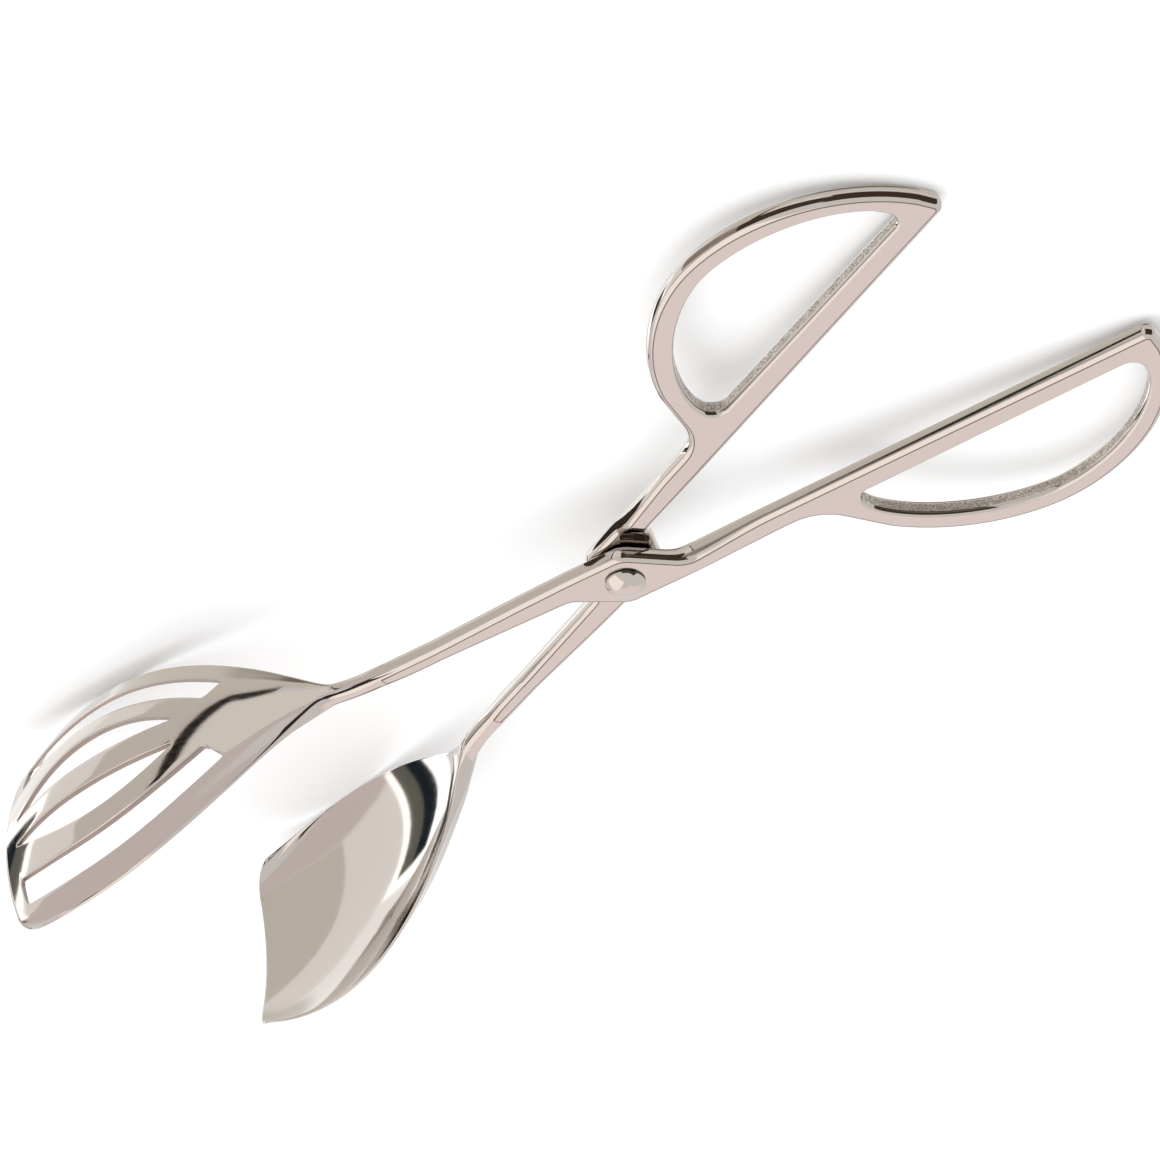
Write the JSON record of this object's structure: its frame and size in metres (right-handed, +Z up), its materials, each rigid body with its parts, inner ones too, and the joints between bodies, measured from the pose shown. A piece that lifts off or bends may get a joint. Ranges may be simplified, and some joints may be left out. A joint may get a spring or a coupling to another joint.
{
  "type": "serving tongs",
  "caption": "Scissor-action serving tongs: a slotted bowl and a solid scoop face each other on two crossed arms with D-shaped finger loops, turning on a domed rivet.",
  "frame": {"origin": "centre of the bounding box's underside, on the table that the tongs lie on", "axes": "+X from the bowls to the finger loops, +Y towards the slotted bowl's side, +Z up from the table"},
  "size_m": [0.2454, 0.0972, 0.0456],
  "materials": {
    "slotted_arm": "mirror-polished stainless steel",
    "scoop_arm": "mirror-polished stainless steel",
    "pivot_rivet": "mirror-polished stainless steel"
  },
  "bodies": {
    "slotted_side": {"slotted_arm": "slotted_arm", "pivot_rivet": "pivot_rivet"},
    "scoop_side": {"scoop_arm": "scoop_arm"}
  },
  "joints": [
    {"name": "pivot", "type": "hinge", "parent": "slotted_side", "child": "scoop_side", "pos_m": [0.01733, 0, 0.01259], "axis": [0.0895, 0, 0.996], "range_deg": [-22.5, 40]}
  ]
}
